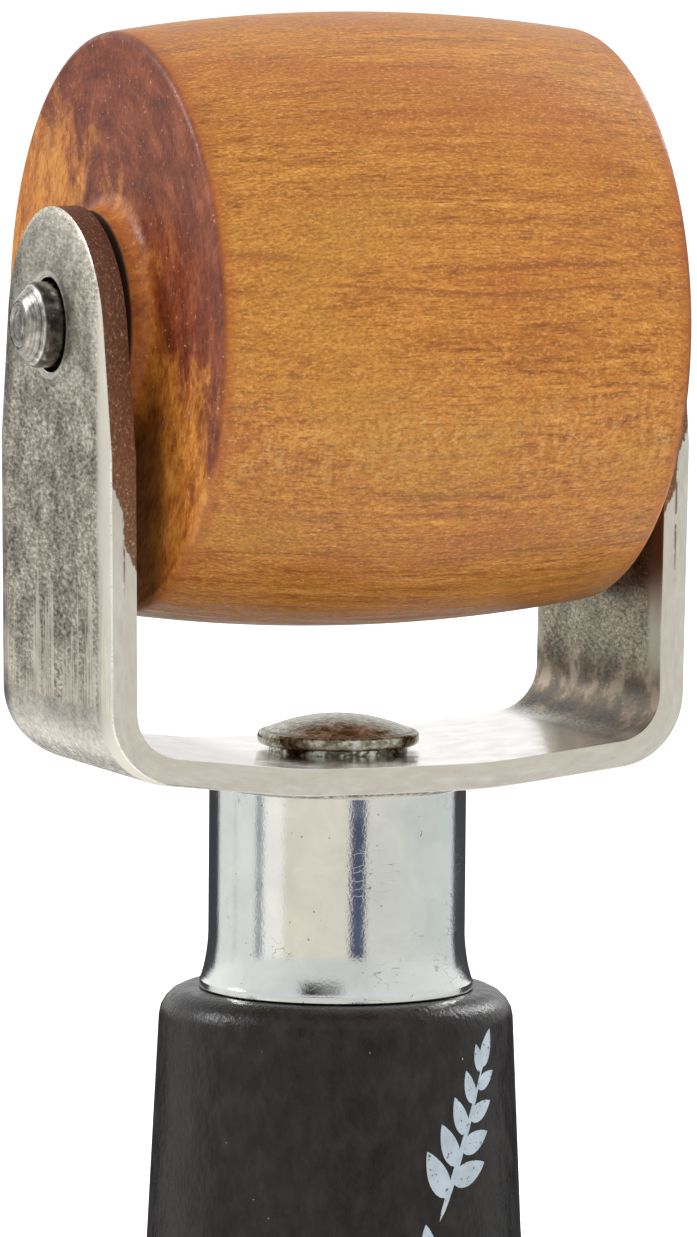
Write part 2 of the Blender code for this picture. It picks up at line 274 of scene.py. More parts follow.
TABLE = (1.05, 1.04, 1.02)
# heights of a direction, from straight down at -1 to straight up at 1
HORIZON, CEILING_EDGE, TABLE_EDGE = (0.0, 0.05), (0.30, 0.42), (-0.18, -0.40)
PATCH_FOOT, PATCH_TOP = (0.24, 0.36), (0.50, 0.62)
CAMERA_SIDE = math.atan2(CAMERA_PLACE[1], CAMERA_PLACE[0])

world = bpy.data.worlds.new("room")
bpy.context.scene.world = world
world.use_nodes = True
bpy.context.scene.view_settings.view_transform = "Standard"

room = Nodes(world.node_tree)
direction = room.add("TexCoord", {}, out="Generated")
height = room.split(direction)[2]
around = room.add("TexGradient", {0: room.mapped(direction, turn=(0, 0, -CAMERA_SIDE))}, out="Fac",
                  gradient_type="RADIAL")
panels, above, patch = [room.ramp(around, [(place, color) for place, *color in stops])
                        for stops in (PANELS, ABOVE, SPOT)]
light = room.mix(room.band(height, *HORIZON, smooth=False), panels, above)
light = room.mix(room.band(height, *CEILING_EDGE, smooth=False), light, CEILING)
light = room.mix(room.band(height, *TABLE_EDGE, smooth=False), light, TABLE)
patch = room.times(room.band(height, *PATCH_FOOT, smooth=False),
                   room.band(height, *PATCH_TOP, 1.0, 0.0, smooth=False), patch)
light = room.add("VectorMath", {0: light, "Scale": room.minus(1.0, patch)}, operation="SCALE")
background = room.tree.nodes["Background"]
room.tree.links.new(light, background.inputs["Color"])
background.inputs["Strength"].default_value = 1.0


# %% Lamps
AIM = (0.0, 0.0, 0.14)
PANEL_SIZE = (0.7, 0.9)
RIM_SIZE = (0.35, 0.6)


def lamp(name, place, size, power):
    """A soft panel at one point that faces the tool."""
    data = bpy.data.lights.new(name, "AREA")
    data.shape = "RECTANGLE"
    data.size, data.size_y = size
    data.energy = power
    item = bpy.data.objects.new(name, data)
    bpy.context.scene.collection.objects.link(item)
    turn = (Vector(AIM) - Vector(place)).to_track_quat("-Z", "Y").to_matrix().to_4x4()
    item.matrix_world = Matrix.Translation(place) @ turn
    return item


lamp("left_panel", (-1.3, -0.7, 0.75), PANEL_SIZE, 7).visible_glossy = False
lamp("right_panel", (1.0, -1.2, 0.8), PANEL_SIZE, 11).visible_glossy = False
lamp("left_rim", (-1.2, 0.75, 1.0), RIM_SIZE, 9)
lamp("right_rim", (1.25, 0.6, 1.0), RIM_SIZE, 9)

# %% [markdown]
# ## How turned pieces are made
#
# Five of the pieces came off a lathe or a spinning press. Each is drawn as half of its outline: a
# few points, with the corners rounded by a vertex bevel. A spin then sweeps the line all round. The
# same helpers serve the roller, which is spun about X, and the handle, which is spun about Z.

# %% Turning helpers
def about_axle(along, radius):
    """A point of an outline on the roller's axis, along X from the middle between the arms."""
    return Vector((along, 0.0, AXLE_HEIGHT + radius))


def about_handle(height, radius):
    """A point of an outline on the handle's axis, at a height above the butt."""
    return Vector((radius, 0.0, height))


def draw(shape, points, start=None):
    """Joins points with edges in turn, going on from a vertex if one is given."""
    made = [] if start is None else [start]
    for point in points:
        vertex = shape.verts.new(point)
        if made:
            shape.edges.new((made[-1], vertex))
        made.append(vertex)
    return made


def draw_arc(shape, start, centre, axis, angle, steps):
    """Carries a vertex round a centre, drawing as it goes, and returns the arc's last vertex."""
    return bmesh.ops.spin(shape, geom=[start], cent=centre, axis=axis, dvec=(0, 0, 0), angle=angle,
                          space=Matrix.Identity(4), steps=steps, use_merge=False,
                          use_duplicate=False)["geom_last"][0]


def round_off(shape, vertex, size):
    """Rounds one corner of a drawn line, starting size before it and ending size after it."""
    bmesh.ops.bevel(shape, geom=[vertex], offset=size, offset_type="OFFSET", segments=5,
                    profile=0.5, affect="VERTICES", material=-1)


def drawn_and_rounded(shape, place, corners):
    """Draws an outline from (along, radius, rounding) corners."""
    made = draw(shape, [place(along, radius) for along, radius, rounding in corners])
    for vertex, (along, radius, rounding) in zip(made, corners):
        if rounding:
            round_off(shape, vertex, rounding)


def spin_round(shape, centre, axis, steps):
    """Sweeps everything drawn so far through a full turn and closes it."""
    bmesh.ops.spin(shape, geom=shape.verts[:] + shape.edges[:], cent=centre, axis=axis,
                   dvec=(0, 0, 0), angle=2 * math.pi, space=Matrix.Identity(4), steps=steps,
                   use_merge=True, use_duplicate=False)
    bmesh.ops.remove_doubles(shape, verts=shape.verts, dist=0.002 * MM)


# %% Finishing helper
def finished(shape, name, materials, body, nodes, crisp=40):
    """Faces outwards, smooth shading with crisp corners, and the piece's body and nodes."""
    bmesh.ops.recalc_face_normals(shape, faces=shape.faces)
    for face in shape.faces:
        face.smooth = True
    for edge in shape.edges:
        edge.smooth = edge.calc_face_angle(0.0) < math.radians(crisp)
    mesh = bpy.data.meshes.new(name)
    shape.to_mesh(mesh)
    shape.free()
    piece = bpy.data.objects.new(name, mesh)
    bpy.context.scene.collection.objects.link(piece)
    for material in materials:
        mesh.materials.append(material)
    shading = piece.modifiers.new("Even shading", "WEIGHTED_NORMAL")
    shading.keep_sharp = True
    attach(piece, body)
    if nodes:
        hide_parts(*nodes)
    print(name, "has", len(mesh.polygons), "faces")


# %% [markdown]
# ## Oiled wood
#
# The barrel is a fine-grained fruitwood, oiled to honey orange. Wood is a solid pattern: fibres run
# along the barrel, growth layers stack across it, and thin ray plates stand between the two. Noise
# that is stretched differently along the three directions gives short dashes on the barrel's top,
# pale flecks where the surface cuts the rays flat, and dots on the end, all from one pattern.

# %% Oiled wood
def oiled_wood():
    wood = Finish("oiled_wood", IOR=1.47)
    place = wood.mapped(wood.object_place(), shift=(0, 0, -AXLE_HEIGHT))
    along, across, up = wood.split(place)
    warp = wood.noise(place, (60, 160, 160), detail=3.0)
    grain = wood.mapped(place, turn=(math.radians(-20), 0, 0))
    from_heart = wood.split(grain)[2]
    depth = wood.plus(from_heart, wood.times(warp, 2.2 * MM))

    fibres = wood.noise(grain, (1300, 9500, 2600), detail=2.0, rough=0.6)
    streaks = wood.noise(grain, (90, 1500, 1500), detail=4.0, rough=0.7)
    pores = wood.noise(grain, (520, 7000, 7000), detail=1.0)
    rays = wood.noise(grain, (1900, 3600, 760), detail=2.0, rough=0.6)
    drift = wood.noise(place, (45, 110, 110), detail=3.0, warp=0.6)
    bands = wood.lines(depth, 640.0, rough=0.7)
    broken = wood.noise(place, (75, 260, 260), detail=2.0)
    layer = wood.times(wood.band(bands, 0.57, 0.68), wood.band(broken, 0.40, 0.58, 0.25, 1.0))
    grit = wood.noise(grain, (3800, 8200, 6200), detail=2.0, rough=0.7)

    tone = wood.weighted((fibres, 0.42), (streaks, 0.58))
    color = wood.ramp(tone, [(0.34, (0.24, 0.068, 0.007)), (0.47, (0.455, 0.163, 0.021)),
                             (0.56, (0.55, 0.214, 0.030)), (0.68, (0.70, 0.34, 0.078))])
    radial = wood.band(wood.absolute(from_heart), 0.8 * MM, 4.2 * MM, 1.0, 0.0)
    fleck = wood.times(wood.band(rays, 0.47, 0.60), radial)
    color = wood.mix(wood.times(fleck, 0.42), color, (0.64, 0.34, 0.10))
    color = wood.mix(wood.times(layer, 0.7), color, (0.25, 0.062, 0.010))
    color = wood.mix(wood.band(pores, 0.58, 0.72, 0.0, 0.6), color, (0.16, 0.045, 0.010))
    color = wood.mix(wood.band(drift, 0.50, 0.70, 0.0, 0.6), color, (0.40, 0.098, 0.010))
    color = wood.mix(wood.band(drift, 0.30, 0.46, 0.5, 0.0), color, (0.50, 0.235, 0.030))
    color = wood.mix(wood.band(grit, 0.38, 0.48, 0.45, 0.0), color, (0.20, 0.065, 0.012))
    color = wood.mix(wood.band(grit, 0.56, 0.68, 0.0, 0.4), color, (0.80, 0.46, 0.16))

    beyond = wood.minus(wood.absolute(wood.minus(along, ROLLER_MIDDLE)), HALF_WIDTH)
    rim = wood.band(wood.plus(beyond, wood.times(streaks, 0.8 * MM)), -0.9 * MM, 0.1 * MM)
    color = wood.mix(wood.times(rim, 0.5), color, (0.36, 0.080, 0.010))
    out = wood.radius(across, up)
    sideways, upwards = [wood.times(wood.math("DIVIDE", way, out), 9.0) for way in (across, up)]
    round_place = wood.add("CombineXYZ", {0: wood.times(out, 2300.0), 1: sideways, 2: upwards})
    turned = wood.noise(round_place, detail=3.0, rough=0.6)
    arcs = wood.noise(round_place, (0.30, 0.35, 0.35), detail=2.0)
    clouds = wood.noise(place, (300, 420, 330), detail=4.0, rough=0.7, warp=0.5)
    pits = wood.noise(grain, (2500, 3600, 1700), detail=3.0, rough=0.7)
    end_tone = wood.weighted((turned, 0.20), (pits, 0.28), (clouds, 0.27), (arcs, 0.25))
    end_color = wood.ramp(end_tone, [(0.38, (0.085, 0.012, 0.003)), (0.50, (0.185, 0.036, 0.010)),
                                     (0.61, (0.31, 0.080, 0.028))])
    # The end face is painted warmer and lighter towards the back and the bottom, and brighter
    # orange on the hub: partly the wood's own tone, partly painted light on the lit parts of the
    # end.
    lit_end_color = wood.ramp(end_tone, [(0.38, (0.22, 0.050, 0.005)), (0.50, (0.50, 0.170, 0.022)),
                                      (0.61, (0.70, 0.31, 0.060))])
    lit_end_side = wood.weighted((across, 60.0), (up, -80.0), (warp, 1.3), (clouds, 1.6))
    end_color = wood.mix(wood.band(lit_end_side, 0.70, 1.42), end_color, lit_end_color)
    hub = wood.band(out, 7.0 * MM, 8.4 * MM, 0.95, 0.0)
    end_color = wood.mix(hub, end_color,
                         wood.ramp(end_tone, [(0.40, (0.36, 0.075, 0.008)),
                                              (0.60, (0.80, 0.28, 0.040))]))
    pale = wood.noise(place, (4200, 4200, 4200), detail=1.0)
    end_color = wood.mix(wood.band(pale, 0.70, 0.77, 0.0, 0.5), end_color, (0.80, 0.56, 0.36))
    end_color = wood.mix(wood.band(pale, 0.22, 0.28, 0.8, 0.0), end_color, (0.045, 0.012, 0.004))
    # The hub's end beside the arm is painted near black: a painted shade in the narrow gap between
    # the hub and the arm.
    painted_gap_shade = wood.band(beyond, 1.36 * MM, 1.60 * MM, 0.0, 0.97)
    end_color = wood.mix(painted_gap_shade, end_color, (0.022, 0.009, 0.004))
    end = wood.band(beyond, -0.5 * MM, -0.05 * MM)
    color = wood.mix(end, color, end_color)

    roughness = wood.most(wood.band(streaks, 0.3, 0.7, 0.30, 0.60), painted_gap_shade)
    height = wood.plus(wood.times(fibres, 0.6), wood.times(turned, end))
    normal = wood.bump(height, 0.035 * MM, 0.7)
    return wood.surface(color, roughness, normal)


# %% [markdown]
# ## Roller barrel
#
# The barrel is widest at its middle, so that it presses the paper first along one line. A vertex
# spun about a far centre draws that crown. The two ends are drawn on from it: a broken rim, a flat
# end, a fillet and a raised hub that keeps the end off the arm.

# %% Roller barrel
HUB_RADIUS = 7.2 * MM
END_RADIUS = 18.25 * MM
ROUNDINGS = [0.45 * MM, 0.45 * MM, 1.2 * MM, 0.5 * MM, 1.2 * MM, 0.5 * MM]
crown = CROWN_RADIUS - END_RADIUS
crown_arc = (HALF_WIDTH**2 + crown**2) / (2 * crown)
print("the crown is an arc of", round(crown_arc / MM, 1), "mm")

barrel = bmesh.new()
left_rim = barrel.verts.new(about_axle(ROLLER_MIDDLE - HALF_WIDTH, END_RADIUS))
right_rim = draw_arc(barrel, left_rim, about_axle(ROLLER_MIDDLE, CROWN_RADIUS - crown_arc),
                     (0, 1, 0), 2 * math.asin(HALF_WIDTH / crown_arc), 36)
corners = [left_rim, right_rim]
for rim, side in ((left_rim, -1), (right_rim, 1)):
    end, hub = [ROLLER_MIDDLE + side * reach for reach in (HALF_WIDTH, HALF_WIDTH + HUB_HEIGHT)]
    line = draw(barrel, [about_axle(end, HUB_RADIUS), about_axle(hub, HUB_RADIUS),
                         about_axle(hub, PIN_RADIUS)], start=rim)
    corners += line[1:3]
for corner, size in zip(corners, ROUNDINGS):
    round_off(barrel, corner, size)
spin_round(barrel, about_axle(0, 0), (1, 0, 0), 160)
finished(barrel, "roller_barrel", [oiled_wood()], "roller_on_axle", ["roller"],
         crisp=60)

# %% [markdown]
# ## Axle pin
#
# The pin is a length of bright rod, pressed through the barrel and chamfered where it leaves the
# arms. Its ends keep the fine rings of the parting tool, cut here as shallow steps.

# %% Bright steel
def bright_steel():
    steel = Finish("bright_steel", Metallic=1.0)
    place = steel.mapped(steel.object_place(), shift=(0, 0, -AXLE_HEIGHT))
    mottle = steel.noise(place, (1600, 1600, 1600), detail=3.0)
    wear = steel.noise(place, (500, 900, 900), detail=4.0, rough=0.7)
    along, across, up = steel.split(place)
    # The pin's side between its chamfer and the arm is painted dark: a painted shadow where the pin
    # goes into the arm.
    shaded = steel.band(steel.absolute(along), 21.0 * MM, 21.2 * MM, 0.9, 0.0)
    painted_pin_shadow = steel.ramp(mottle, [(0.40, (0.035, 0.030, 0.024)), (0.60, (0.12, 0.108, 0.09)),
                                (0.72, (0.42, 0.40, 0.36))])
    wobble = steel.plus(steel.radius(across, up), steel.times(wear, 0.25 * MM))
    rings = steel.lines(wobble, 5200.0)
    scale = steel.ramp(steel.weighted((wear, 0.35), (mottle, 0.25), (rings, 0.40)),
                       [(0.38, (0.14, 0.125, 0.105)), (0.48, (0.36, 0.335, 0.30)),
                        (0.56, (0.58, 0.55, 0.51)), (0.64, (0.95, 0.93, 0.89))])
    color = steel.mix(shaded, scale, painted_pin_shadow)
    roughness = steel.band(mottle, 0.3, 0.7, 0.22, 0.42)
    height = steel.plus(rings, steel.times(mottle, 0.5))
    normal = steel.bump(height, 0.045 * MM, 0.6)
    return steel.surface(color, roughness, normal)


# %% Axle pin
RING_STEP = 0.32 * MM
RING_DEPTH = 0.03 * MM
CHAMFER = 1.05 * MM
CHAMFER_RISE = 1.1 * MM
CHAMFER_SOFT = 0.12 * MM
RINGS = 5
pin = bmesh.new()
pin_corners = []
for end, side in ((pin_low.x, -1), (pin_high.x, 1)):
    rings = [(end - side * RING_DEPTH * (i % 2), RING_STEP * i, 0) for i in range(RINGS)]
    edge = [(end, PIN_RADIUS - CHAMFER_RISE, CHAMFER_SOFT),
            (end - side * CHAMFER, PIN_RADIUS, CHAMFER_SOFT)]
    pin_corners += (rings + edge) if side < 0 else list(reversed(rings + edge))
drawn_and_rounded(pin, about_axle, pin_corners)
spin_round(pin, about_axle(0, 0), (1, 0, 0), 72)
finished(pin, "axle_steel_pin", [bright_steel()], "roller_on_axle", ["axle_pin"])

# %% [markdown]
# ## Fork
#
# The fork was punched from flat strip and bent in a press. Punching rolls the outer face over at
# the edge and leaves a cut edge in two tones. It is built the way it was made: a flat blank is
# drawn, thickened, its outer face inset in small steps for the rolled edge, the holes opened, and
# then every vertex is carried round the bends. An attribute keeps its flat place, so that rolling
# lines in the finish follow the strip round the bends.

# %% Path of the strip's middle layer
ARM_SPLAY = math.radians(0.75)
FLANK_ANGLE = math.radians(6.6)
SEAT_HALF = 3.5 * MM
SEAT_BLEND_RADIUS = 43 * MM
BEND_RADIUS = 3 * MM
ARM_REACH = 40 * MM
ARM_HALF_GAP = 18.125 * MM
half_layer = STRIP_THICKNESS / 2
axle_above = AXLE_HEIGHT - BASE_TOP


def strip_path(flank):
    """Steps (length, turn) of the right half: seat, gentle blend, flank, tight bend, arm."""
    bend = math.pi / 2 - ARM_SPLAY - FLANK_ANGLE
    return [(SEAT_HALF, 0.0), ((SEAT_BLEND_RADIUS + half_layer) * FLANK_ANGLE, FLANK_ANGLE),
            (flank, 0.0), ((BEND_RADIUS + half_layer) * bend, bend), (ARM_REACH, 0.0)]


def walk(path, length):
    """Place and heading on the middle layer after a length from the base's middle."""
    spot, heading = Vector((0.0, -half_layer)), 0.0
    for step, turn in path:
        part = min(max(length, 0.0), step)
        bend = turn * part / step if step else 0.0
        chord = part * math.sin(bend / 2) / (bend / 2) if bend else part
        spot += chord * Vector((math.cos(heading + bend / 2), math.sin(heading + bend / 2)))
        heading += bend
        length -= part
        if length <= 0:
            break
    return spot, heading


def axle_station(path):
    """Length along the middle layer to the axle's height, and the arm's inner face there."""
    before = sum(step for step, turn in path[:-1])
    foot, heading = walk(path, before)
    climb = (axle_above - foot.y) / math.sin(heading)
    face = foot.x + climb * math.cos(heading) - half_layer / math.sin(heading)
    return before + climb, face


missing = ARM_HALF_GAP - axle_station(strip_path(0.0))[1]
flank_length = missing / (math.cos(FLANK_ANGLE) - math.sin(FLANK_ANGLE) * math.tan(ARM_SPLAY))
PATH = strip_path(flank_length)
AXLE_STATION, arm_face = axle_station(PATH)
print("flank", round(flank_length / MM, 2), "mm, arm face at", round(arm_face / MM, 3), "mm")

# %% Flat blank
STRIP_HALF = 9.5 * MM
ARM_TAPER = math.radians(9.4)
TIP_RADIUS = 8.25 * MM
TIP_DROP = 0.8 * MM
STRIP_OFFSET = -0.65 * MM
tip_centre = Vector((AXLE_STATION - TIP_DROP, 0, 0))
tip_start = tip_centre + TIP_RADIUS * Vector((math.sin(ARM_TAPER), math.cos(ARM_TAPER), 0))
shoulder = tip_start.x - (STRIP_HALF - tip_start.y) / math.tan(ARM_TAPER)

blank = bmesh.new()
first = blank.verts.new(tip_start)
last = draw_arc(blank, first, tip_centre, (0, 0, 1), 2 * ARM_TAPER - math.pi, 40)
for vertex, edge in ((first, STRIP_HALF), (last, -STRIP_HALF)):
    draw(blank, [(shoulder, edge, 0), (0, edge, 0)], start=vertex)
bmesh.ops.mirror(blank, geom=blank.verts[:] + blank.edges[:], matrix=Matrix.Identity(4),
                 merge_dist=0.01 * MM, axis="X", mirror_u=False, mirror_v=False)
bmesh.ops.remove_doubles(blank, verts=blank.verts, dist=0.01 * MM)
outline = bmesh.ops.edgenet_fill(blank, edges=blank.edges)["faces"]
print("outline faces", len(outline), "corners", len(outline[0].verts))

# %% Thickness, cut edge and rolled outer edge
SHEAR_DEPTH = 0.85 * MM
ROLL_DEPTH = 0.20 * MM
ROLL_WIDTH = 1.9 * MM
ROLL_STEPS = 6
LIP_WIDTH = 0.08 * MM
LIP_DEPTH = 0.06 * MM
INNER_WIDTH = 0.12 * MM
INNER_DEPTH = 0.02 * MM
face = outline[0]
if face.normal.z < 0:
    face.normal_flip()


def deepen(shape, face, depth):
    """Extrudes one face downwards and returns the new face at the end."""
    made = bmesh.ops.extrude_face_region(shape, geom=[face])["geom"]
    bmesh.ops.translate(shape, verts=verts_in(made), vec=(0, 0, -depth))
    if face.is_valid and len(face.edges[0].link_faces) > 2:
        bmesh.ops.delete(shape, geom=[face], context="FACES_ONLY")
    return [f for f in made if isinstance(f, bmesh.types.BMFace)][0]


def inset(shape, face, thickness, depth):
    """Shrinks one face and pushes it outwards, with a sloping border round it."""
    bmesh.ops.inset_region(shape, faces=[face], thickness=thickness, depth=depth,
                           use_even_offset=True, use_boundary=True)


bottom = deepen(blank, face, SHEAR_DEPTH)
deepen(blank, bottom, STRIP_THICKNESS - SHEAR_DEPTH - ROLL_DEPTH - LIP_DEPTH)
bmesh.ops.recalc_face_normals(blank, faces=blank.faces)
flats = sorted(blank.faces, key=lambda f: abs(f.normal.z), reverse=True)[:2]
inner, outer = sorted(flats, key=lambda f: f.calc_center_median().z, reverse=True)
inset(blank, outer, LIP_WIDTH, LIP_DEPTH)
for i in range(ROLL_STEPS):
    near, far = 1 - i / ROLL_STEPS, 1 - (i + 1) / ROLL_STEPS
    inset(blank, outer, ROLL_WIDTH / ROLL_STEPS, ROLL_DEPTH * (near**2 - far**2))
inset(blank, inner, INNER_WIDTH, INNER_DEPTH)
bmesh.ops.translate(blank, verts=blank.verts, vec=(0, 0, -max(v.co.z for v in blank.verts)))
print("blank thickness", round(-min(v.co.z for v in blank.verts) / MM, 3))

# %% Cuts across the strip where it bends, and round the holes
COLLAR_CELL = 5.4 * MM
PIN_CELL = 3.6 * MM
BEND_CUTS = 28
BLEND_CUTS = [6.6 * MM, 7.6 * MM]


def cut_across(shape, place, direction, only=None):
    geometry = shape.verts[:] + shape.edges[:] + shape.faces[:] if only is None else only
    bmesh.ops.bisect_plane(shape, geom=geometry, dist=0.0005 * MM, plane_co=place,
                           plane_no=direction, clear_inner=False, clear_outer=False)


blend_end = SEAT_HALF + PATH[1][0]
bend_start = blend_end + flank_length
bend_end = bend_start + PATH[3][0]
stations = [COLLAR_CELL, *BLEND_CUTS, blend_end, bend_end + 4 * MM]
stations += [bend_start + PATH[3][0] * i / BEND_CUTS for i in range(BEND_CUTS + 1)]
stations += [AXLE_STATION - PIN_CELL, AXLE_STATION + PIN_CELL]
for station in stations:
    for side in (-1, 1):
        cut_across(blank, (side * station, 0, 0), (1, 0, 0))


# %% Holes
HOLE_Y = -STRIP_OFFSET
PIN_HOLE = 3.0 * MM
COLLAR_HOLE = 4.45 * MM
RIM_SOFT = 0.16 * MM
SMALLEST_CELL = 20 * MM * MM


def faces_over(shape, station, reach):
    """Faces of both flats that lie wholly inside a band of the strip."""
    return [f for f in shape.faces if abs(f.normal.z) > 0.99
            and all(abs(v.co.x - station) < reach + 0.001 * MM for v in f.verts)
            and f.calc_area() > SMALLEST_CELL]


def open_hole(shape, station, radius, cell):
    """Turns one square cell of each flat into a round hole with a soft rim, and joins the two."""
    for side in (-1, 1):
        strip = faces_over(shape, station, cell)
        corners = list({v for f in strip for v in f.verts})
        borders = list({e for f in strip for e in f.edges})
        cut_across(shape, (0, side * cell + HOLE_Y, 0), (0, 1, 0), only=corners + borders + strip)
    centre = Vector((station, HOLE_Y, 0))
    rims = []
    for f in list(shape.faces):
        middle = f.calc_center_median()
        if abs(f.normal.z) > 0.99 and (Vector((middle.x, middle.y, 0)) - centre).length < 0.5 * MM:
            bmesh.ops.inset_individual(shape, faces=[f], thickness=0.5 * MM, use_even_offset=True)
            bmesh.ops.subdivide_edges(shape, edges=f.edges[:], cuts=11)
            for v in f.verts:
                out = Vector((v.co.x, v.co.y, 0)) - centre
                v.co = Vector((0, 0, v.co.z)) + centre + out.normalized() * (radius + RIM_SOFT)
            bmesh.ops.inset_individual(shape, faces=[f], thickness=RIM_SOFT, depth=-0.10 * MM,
                                       use_even_offset=True)
            rims.append(f)
    edges = [e for f in rims for e in f.edges]
    bmesh.ops.delete(shape, geom=rims, context="FACES_ONLY")
    bmesh.ops.bridge_loops(shape, edges=edges)
    print("hole at", round(station / MM, 2), "with", len(edges), "rim edges")


open_hole(blank, AXLE_STATION, PIN_HOLE, PIN_CELL)
open_hole(blank, -AXLE_STATION, PIN_HOLE, PIN_CELL)
open_hole(blank, 0.0, COLLAR_HOLE, COLLAR_CELL)

# %% Bend the blank into the fork
flat_place = blank.verts.layers.float_vector.new("flat_place")
for f in blank.faces:
    f.material_index = 0 if abs(f.normal.z) > 0.5 else 1
for v in blank.verts:
    v[flat_place] = v.co
    side = 1 if v.co.x >= 0 else -1
    spot, heading = walk(PATH, abs(v.co.x))
    lift = v.co.z + half_layer
    v.co = Vector((side * (spot.x - lift * math.sin(heading)), v.co.y + STRIP_OFFSET,
                   BASE_TOP + spot.y + lift * math.cos(heading)))


# %% Strip steel
def strip_steel():
    steel = Finish("strip_steel", Metallic=1.0)
    place = steel.attribute("flat_place")
    lengthwise, across, depth = steel.split(place)
    station = steel.absolute(lengthwise)
    speckle = steel.noise(place, (4300, 1900, 3600), detail=3.0, rough=0.8)
    flecks = steel.noise(place, (6500, 3000, 5200), detail=1.0)
    cloud = steel.noise(place, (420, 420, 420), detail=4.0, rough=0.6)
    pulled = steel.noise(place, (120, 6000, 300), detail=3.0, rough=0.6)

    smooth_tip = steel.band(station, AXLE_STATION - 6 * MM, AXLE_STATION + 1 * MM)
    in_bend = steel.band(station, bend_end - 0.2 * MM, bend_end + 0.3 * MM, 1.0, 0.0)
    edge_reach = steel.minus(steel.absolute(across), steel.band(across, 0.0, 1.0 * MM, 0.0, 1.3 * MM))
    edge_band = steel.band(steel.plus(edge_reach, steel.times(cloud, 0.5 * MM)), STRIP_HALF - 2.1 * MM,
                           STRIP_HALF - 1.1 * MM)
    quiet = steel.most(steel.times(smooth_tip, 0.6), edge_band, steel.times(in_bend, 0.75))
    tone = steel.weighted((speckle, 0.75), (cloud, 0.25))
    rough_color = steel.ramp(tone, [(0.36, (0.13, 0.108, 0.078)), (0.45, (0.40, 0.352, 0.278)),
                                    (0.54, (0.68, 0.61, 0.50)), (0.63, (1.0, 0.97, 0.88))])
    calm_color = steel.ramp(tone, [(0.38, (0.46, 0.42, 0.35)), (0.52, (0.66, 0.61, 0.53)),
                                   (0.64, (0.84, 0.80, 0.72))])
    color = steel.mix(quiet, rough_color, calm_color)
    # Everything up to the end of the bends is painted brighter: a painted reflection of the white
    # floor below.
    painted_bend_reflection = steel.ramp(tone, [(0.38, (0.60, 0.56, 0.485)), (0.50, (0.78, 0.735, 0.65)),
                               (0.62, (0.95, 0.91, 0.82))])
    color = steel.mix(steel.times(in_bend, 0.9), color, painted_bend_reflection)
    # Below the start of the bends the strip is painted darker: a painted shade under the bends.
    under_bend = steel.band(station, bend_start + 2.2 * MM, bend_start + 3.6 * MM, 1.0, 0.0)
    under_bend_shade = steel.ramp(tone, [(0.42, (0.07, 0.06, 0.05)), (0.52, (0.36, 0.33, 0.28)),
                             (0.62, (0.85, 0.80, 0.72))])
    color = steel.mix(steel.times(under_bend, 0.85), color, under_bend_shade)
    # The rolled edge is quieter in speckle and is painted paler: a painted highlight along the
    # rolled edge.
    color = steel.mix(edge_band, color, (0.83, 0.785, 0.69))
    # The very edge of the rolled face is painted near white in broken patches: a painted glint
    # along the edge.
    lip = steel.band(steel.absolute(across), STRIP_HALF - 0.22 * MM, STRIP_HALF - 0.12 * MM)
    glint_patches = steel.band(flecks, 0.38, 0.46)
    color = steel.mix(steel.times(lip, glint_patches), color, (1.0, 0.97, 0.88))
    # A thin ring round the pin's hole is painted near white: a painted highlight on the hole's soft
    # rim.
    from_hole = steel.add("VectorMath", {0: steel.add("CombineXYZ", {0: station, 1: across}),
                                         1: (AXLE_STATION, HOLE_Y, 0.0)}, out="Value",
                          operation="DISTANCE")
    painted_hole_glint = steel.between(from_hole, (3.10 * MM, 3.18 * MM), (3.34 * MM, 3.50 * MM))
    color = steel.mix(steel.times(painted_hole_glint, 0.85), color, (1.0, 0.95, 0.84))
    inner_face = steel.band(depth, -0.4 * MM, -0.2 * MM)
    seat = steel.times(inner_face, steel.band(station, bend_start - 1 * MM, bend_start + 2 * MM,
                                              1.0, 0.0))
    # The inner faces, which face the roller, are painted darker: a painted shade between the arms
    # and the roller.
    color = steel.mix(inner_face, color, (0.76, 0.74, 0.69), blend="MULTIPLY")
    # Inside the bends, under the roller, the strip is painted dark brown in patches: a painted
    # shade under the roller.
    inner_bend = steel.times(inner_face,
                             steel.between(station, (bend_start + 0.8 * MM, bend_start + 2.4 * MM),
                                           (bend_end, bend_end + 3 * MM)))
    patchy = steel.ramp(cloud, [(0.40, (0.05, 0.034, 0.02)), (0.52, (0.16, 0.105, 0.062)),
                                (0.62, (0.42, 0.33, 0.24))])
    color = steel.mix(steel.times(inner_bend, 0.8), color, patchy)
    color = steel.mix(steel.times(seat, 0.9), color, (0.97, 0.96, 0.93))

    marks = steel.lines(across, 560.0, detail=4.0, rough=0.6)
    reach = steel.band(marks, 0.42, 0.70, 0.0, 12.0 * MM, smooth=False)
    left_over = steel.minus(reach, steel.minus(station, bend_end))
    scored = steel.times(steel.band(left_over, 0.0, 1.2 * MM),
                         steel.band(station, bend_end - 0.1 * MM, bend_end + 0.25 * MM),
                         steel.minus(1.0, inner_face), steel.band(pulled, 0.38, 0.56, 0.15, 0.95))
    color = steel.mix(scored, color, (0.95, 0.875, 0.74))
    color = steel.mix(steel.band(flecks, 0.70, 0.78, 0.0, 0.5), color, (0.95, 0.93, 0.88))

    roughness = steel.minus(steel.band(cloud, 0.3, 0.7, 0.30, 0.42), steel.times(seat, 0.14))
    height = steel.plus(steel.times(speckle, steel.minus(1.0, quiet)), steel.times(scored, 0.8))
    normal = steel.bump(height, 0.02 * MM, 0.6)
    return steel.surface(color, roughness, normal)


